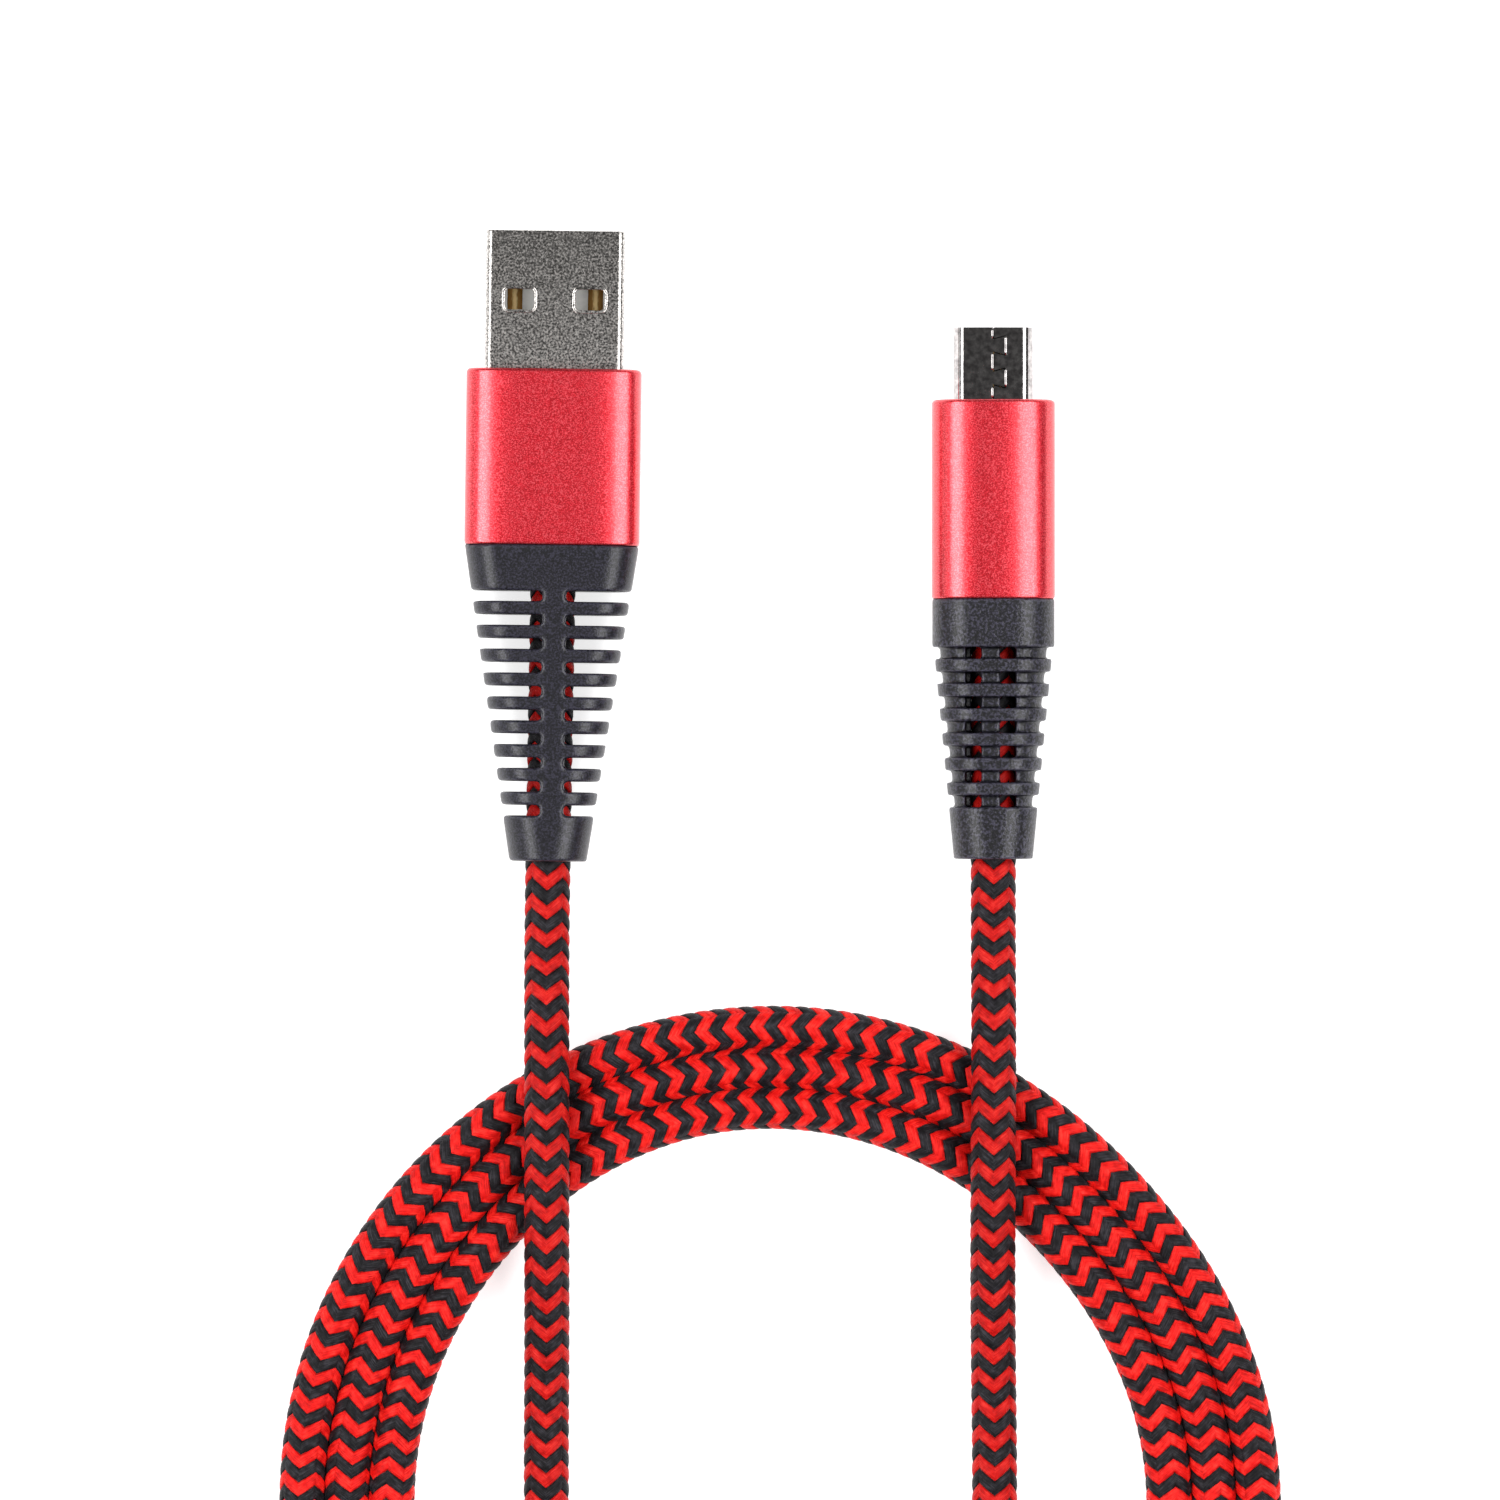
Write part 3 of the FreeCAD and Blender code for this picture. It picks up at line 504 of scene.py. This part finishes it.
def contact_material():
    """Gold plate on a contact strip, with a painted highlight along its middle and painted shade at its
    sides.
    """
    material, tree, shader = principled("gold_plate", (0.95, 0.62, 0.2), metallic=1.0, roughness=0.42)
    place = tree.nodes.new("ShaderNodeSeparateXYZ")
    tree.links.new(tree.nodes.new("ShaderNodeTexCoord").outputs["Generated"], place.inputs["Vector"])
    streaks = factor(texture(tree, "Noise", 2500.0, stretch=(6, 1, 6), detail=2.0))
    across = add(tree, place.outputs["X"], spread(tree, streaks, -0.04, 0.04))
    # painted light: a painted highlight along the strip's middle, and painted shade towards its sides
    edge, painted_highlight = (0.16, 0.08, 0.02), (1.0, 0.74, 0.36)
    stops = [(0.0, edge), (0.35, (0.32, 0.17, 0.05)), (0.48, painted_highlight), (0.6, painted_highlight), (0.7, (0.3, 0.16, 0.05)),
             (1.0, edge)]
    tree.links.new(ramp(tree, across, stops), shader.inputs["Base Color"])
    tree.links.new(spread(tree, streaks, 0.36, 0.5), shader.inputs["Roughness"])
    add_bump(tree, shader, streaks, 0.004 * MM, 0.6)
    return material


def plastic_material(name, colour, roughness):
    """Moulded plastic, slightly clouded."""
    material, tree, shader = principled(name, colour, roughness=roughness)
    cloud = factor(texture(tree, "Noise", 2500.0, detail=3.0))
    dark = tuple(c * 0.88 for c in colour)
    tree.links.new(ramp(tree, cloud, [(0.3, dark), (0.7, colour)]), shader.inputs["Base Color"])
    add_bump(tree, shader, cloud, 0.006 * MM, 0.5)
    return material


def metal_material(name, colour, roughness):
    """Bare metal with fine streaks along it."""
    material, tree, shader = principled(name, colour, metallic=1.0, roughness=roughness)
    streaks = factor(texture(tree, "Noise", 2500.0, stretch=(6, 1, 6), detail=2.0))
    tree.links.new(spread(tree, streaks, roughness * 0.7, roughness * 1.4), shader.inputs["Roughness"])
    add_bump(tree, shader, streaks, 0.004 * MM, 0.6)
    return material


def shell_materials():
    """Plating of the two shells, which also covers their rolled edges."""
    shell_a = nickel_material("nickel_satin", (0.17, 0.163, 0.157), (0.95, 0.91, 0.87), 0.2, 0.28, 5500.0,
                              0.006 * MM, 0.05)
    shell_b = nickel_material("nickel_bright", (0.34, 0.32, 0.32), (0.66, 0.63, 0.62), 0.08, 0.13, 1700.0,
                              0.0006 * MM, 0.03)
    return shell_a, shell_b


def wire_materials():
    """Wire insulation, by the last word of a wire's name."""
    colours = {"red": (0.6, 0.02, 0.02), "white": (0.8, 0.8, 0.78), "green": (0.02, 0.3, 0.06),
               "black": (0.02, 0.02, 0.02)}
    return {name: plastic_material(f"wire_{name}", colour, 0.35) for name, colour in colours.items()}


def wear_materials(shell_a, shell_b):
    """Gives every CAD part its material, by its name."""
    rubber_a = rubber_material("rubber_fine", 6000.0, 0.03 * MM, 3.6, 0.0105)
    rubber_b = rubber_material("rubber_coarse", 4200.0, 0.07 * MM, 6.0, 0.0085)
    gold = contact_material()
    steel = metal_material("spring_steel", (0.55, 0.54, 0.52), 0.25)
    solder = metal_material("solder", (0.7, 0.7, 0.68), 0.3)
    white = plastic_material("white_nylon", (0.85, 0.85, 0.83), 0.4)
    black = plastic_material("black_nylon", (0.02, 0.02, 0.022), 0.4)
    jacket = plastic_material("inner_jacket", (0.03, 0.03, 0.03), 0.5)
    wires = wire_materials()
    by_ending = {
        "usb_a_shell": shell_a, "micro_b_shell": shell_b, "usb_a_boot": rubber_a,
        "micro_b_boot": rubber_b, "usb_a_insulator": white, "micro_b_insulator": black, "_mould": black,
        "_jacket_end": jacket, "_joints": solder,
    }
    for name, node in NODES.items():
        material = next((m for ending, m in by_ending.items() if name.endswith(ending)), None)
        if "_contact_" in name:
            material = gold
        elif "_latch_" in name:
            material = steel
        elif "_wire_" in name:
            material = wires[name.rsplit("_", 1)[1]]
        if material:
            node.data.materials.clear()
            node.data.materials.append(material)


# ---- the cord's pieces ----
def add_yarns(line):
    """The braid: alternate yarns are red and black, each way round."""
    # The red coil is painted brighter than the red legs, as painted light.
    red = yarn_material("yarn_red", (0.36, 0.0015, 0.001), (0.6, 0.005, 0.004), (0.8, 0.03, 0.02),
                        sheen=0.02, leg_painted_light=0.92, coil_painted_light=1.25)
    black = yarn_material("yarn_black", (0.003, 0.0027, 0.0035), (0.009, 0.008, 0.01), (0.04, 0.037, 0.045),
                          sheen=0.03, leg_painted_light=1.0, coil_painted_light=1.0)
    yarns = []
    for way, ways in ((1, "right"), (-1, "left")):
        for number in range(YARNS_EACH_WAY):
            name = f"cord_yarn_{ways}_{number + 1}"
            mesh = yarn_mesh(name, line, number, way)
            mesh.materials.append(black if number % 2 else red)
            yarn = bpy.data.objects.new(name, mesh)
            bpy.context.scene.collection.objects.link(yarn)
            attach(yarn, "cable")
            yarns.append(yarn)
    return yarns


def add_cord():
    """The core and its braid, which stand for the CAD model's smooth cord."""
    core = cord_curve()
    line = Line(read_line(core))
    lay_braid(line)
    core.data.bevel_depth = CORE_R
    core.data.bevel_resolution = 3
    core.data.use_fill_caps = True
    core.data.materials.append(plastic_material("cord_core", (0.012, 0.012, 0.013), 0.6))
    yarns = add_yarns(line)
    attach(core, "cable")
    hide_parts("cord_coil", "cord_from_usb_a", "cord_from_micro_b", "usb_a_cord_in_boot",
                "micro_b_cord_in_boot")


# ---- the plugs' visible pieces ----
def place_on(plug, points):
    """Moves points in millimetres from a plug's own axis to where the plug lies."""
    (x0, y0, z0), lean = (USB_A_AXIS, USB_A_LEAN) if plug == "usb_a" else (MICRO_B_AXIS, MICRO_B_LEAN)
    x, y, z = (np.asarray(points, dtype=float) * MM).T
    cos, sin = math.cos(lean), math.sin(lean)
    return np.stack([x0 + x * cos - y * sin, y0 + x * sin + y * cos, z0 + z], axis=-1)


def tube_mesh(name, rings, material, closed=False):
    """Skin through rings of points, smooth shaded."""
    count, ring = len(rings), len(rings[0])
    verts = np.concatenate(rings)
    faces = []
    for i in range(count if closed else count - 1):
        a, b = i * ring, (i + 1) % count * ring
        faces += [(a + j, a + (j + 1) % ring, b + (j + 1) % ring, b + j) for j in range(ring)]
    sides = len(faces)
    if not closed:
        faces += [tuple(range(ring))[::-1], tuple((count - 1) * ring + j for j in range(ring))]
    mesh = bpy.data.meshes.new(name)
    mesh.from_pydata(verts.tolist(), [], faces)
    mesh.polygons.foreach_set("use_smooth", np.arange(len(faces)) < sides)
    mesh.materials.append(material)
    obj = bpy.data.objects.new(name, mesh)
    bpy.context.scene.collection.objects.link(obj)
    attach(obj, "cable")
    return obj


def crowned_outline(half_width, half_height, power, count=96):
    """Rounded oblong whose faces are slightly crowned."""
    t = np.linspace(0, 2 * math.pi, count, endpoint=False)
    cos, sin = np.cos(t), np.sin(t)
    return (half_width * np.sign(cos) * np.abs(cos) ** (2 / power),
            half_height * np.sign(sin) * np.abs(sin) ** (2 / power))


def add_housing(plug, size, power, start, end, material):
    """Anodised sleeve with rolled rims at both ends."""
    quarter = np.linspace(0, math.pi / 2, 6)
    out, along = HOUSING_RIM * (1 - np.sin(quarter)), HOUSING_RIM * (1 - np.cos(quarter))
    stations = list(zip(start + along, HOUSING_TAIL_RIM * out)) + list(zip(end - along, out))[::-1]
    rings = []
    for y, inset in stations:
        x, z = crowned_outline(size[0] / 2 - inset, size[1] / 2 - inset, power)
        rings.append(place_on(plug, np.stack([x, np.full(len(x), y), z], axis=-1)))
    housing = tube_mesh(f"{plug}_housing_skin", rings, material)
    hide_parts(f"{plug}_housing")


def bead(name, plug, path, width, height, material, closed=False):
    """Rolled edge: a low round bead along a path in millimetres, on a face that looks up or down."""
    path = np.array(path, dtype=float)
    ahead = np.roll(path, -1, 0) - np.roll(path, 1, 0)
    if not closed:
        ahead[0], ahead[-1] = path[1] - path[0], path[-1] - path[-2]
    ahead /= np.linalg.norm(ahead, axis=1)[:, None]
    side = np.stack([ahead[:, 1], -ahead[:, 0], np.zeros(len(path))], axis=-1)
    t = np.linspace(0, 2 * math.pi, 20, endpoint=False)
    full = np.ones(len(path))
    if not closed:
        full[[0, -1]] = BEAD_END
    rings = []
    for p, s, f in zip(path, side, full):
        around = np.outer(np.cos(t) * width / 2, s) + np.outer(np.sin(t) * height, (0, 0, 1))
        rings.append(place_on(plug, p + f * around))
    obj = tube_mesh(name, rings, material, closed)


def window_path(x, y, across, along, radius, z, steps=6):
    """A rounded rectangle's outline about (x, y), at height z."""
    points = []
    for corner, (sx, sy) in enumerate(((1, 1), (-1, 1), (-1, -1), (1, -1))):
        for i in range(steps + 1):
            a = math.pi / 2 * (corner + i / steps)
            points.append((x + sx * (across / 2 - radius) + radius * math.cos(a),
                           y + sy * (along / 2 - radius) + radius * math.sin(a), z))
    return points


def add_rolled_edges(plate_a, plate_b):
    """Rims of the USB-A shell's windows, and the edges of the Micro-B shell's seam."""
    rim = A_RIM_WIDTH
    across, along = (size - rim for size in A_WINDOW)
    for side, x in (("left", -A_WINDOW_X), ("right", A_WINDOW_X)):
        for face, z in (("top", A_SHELL_HALF_HEIGHT), ("bottom", -A_SHELL_HALF_HEIGHT)):
            path = window_path(x, A_WINDOW_Y, across, along, A_WINDOW_RADIUS - rim / 2, z)
            bead(f"usb_a_window_rim_{side}_{face}", "usb_a", path, rim, A_RIM_HEIGHT, plate_a, closed=True)
    for i, (x, y0, y1) in enumerate(B_SEAM_EDGES):
        path = [(x, y, B_SHELL_TOP) for y in (y0, y0 + B_EDGE_TAPER, y1 - B_EDGE_TAPER, y1)]
        bead(f"micro_b_seam_edge_{i + 1}", "micro_b", path, B_EDGE_WIDTH, B_EDGE_HEIGHT, plate_b)


# ---- stage ----
def add_floor():
    """A plain pale floor, lit a little from itself."""
    mesh = bpy.data.meshes.new("floor")
    corners = [(x * FLOOR_HALF, y * FLOOR_HALF, 0) for x, y in ((-1, -1), (1, -1), (1, 1), (-1, 1))]
    mesh.from_pydata(corners, [], [(0, 1, 2, 3)])
    floor = bpy.data.objects.new("floor", mesh)
    bpy.context.scene.collection.objects.link(floor)
    material, _, shader = principled("floor", (FLOOR_GREY,) * 3, roughness=0.9)
    shader.inputs["Emission Color"].default_value = (1, 1, 1, 1)
    shader.inputs["Emission Strength"].default_value = FLOOR_GLOW
    mesh.materials.append(material)


def add_light(name, place, size, power):
    """A soft white panel that faces the cable."""
    data = bpy.data.lights.new(name, "AREA")
    data.shape = "RECTANGLE"
    data.size, data.size_y = size
    data.energy = power
    light = bpy.data.objects.new(name, data)
    light.location = place
    away = np.array(place) - np.array(LIGHT_AIM)
    away /= np.linalg.norm(away)
    light.rotation_euler = (math.acos(away[2]), 0, math.atan2(away[1], away[0]) + math.pi / 2)
    bpy.context.scene.collection.objects.link(light)


def add_lights():
    """The panels and a faint even light from all round."""
    for light in LIGHTS:
        add_light(*light)
    world = bpy.data.worlds.new("studio")
    world.use_nodes = True
    background = world.node_tree.nodes["Background"]
    background.inputs["Color"].default_value = (1, 1, 1, 1)
    background.inputs["Strength"].default_value = WORLD_GLOW
    bpy.context.scene.world = world


def round_edges(name, width):
    """Softens a CAD part's sharp edges with a modifier; its mesh stays as it is."""
    flats = NODES[name].modifiers.new("flats", "DECIMATE")
    flats.decimate_type = "DISSOLVE"
    flats.angle_limit = math.radians(FLAT_ANGLE)
    modifier = NODES[name].modifiers.new("rounded", "BEVEL")
    modifier.use_clamp_overlap = False
    modifier.width = width
    modifier.segments = EDGE_SEGMENTS
    modifier.limit_method = "ANGLE"
    modifier.angle_limit = math.radians(EDGE_ANGLE)
    modifier.miter_outer = "MITER_ARC"


def mould_edges(name, voxel, passes):
    """Gives a moulded part round edges and fillets, with modifiers."""
    remesh = NODES[name].modifiers.new("cells", "REMESH")
    remesh.mode = "VOXEL"
    remesh.voxel_size = voxel
    remesh.use_smooth_shade = True
    rounding = NODES[name].modifiers.new("rounded", "SMOOTH")
    rounding.factor = MOULD_SMOOTHING
    rounding.iterations = passes


def soften_parts():
    """Boots are moulded with round edges; the shells' edges are only broken."""
    mould_edges("usb_a_boot", 0.14 * MM, 16)
    mould_edges("micro_b_boot", 0.12 * MM, 7)
    round_edges("usb_a_shell", 0.045 * MM)
    round_edges("micro_b_shell", 0.03 * MM)


def main():
    bpy.context.scene.view_settings.view_transform = "Standard"
    add_camera()
    add_cord()
    red_metal = anodised_material()
    shell_a, shell_b = shell_materials()
    wear_materials(shell_a, shell_b)
    add_housing("usb_a", A_HOUSING_SIZE, A_HOUSING_POWER, *A_HOUSING_ENDS, red_metal)
    add_housing("micro_b", B_HOUSING_SIZE, B_HOUSING_POWER, *B_HOUSING_ENDS, red_metal)
    add_rolled_edges(shell_a, shell_b)
    soften_parts()
    add_floor()
    add_lights()


main()
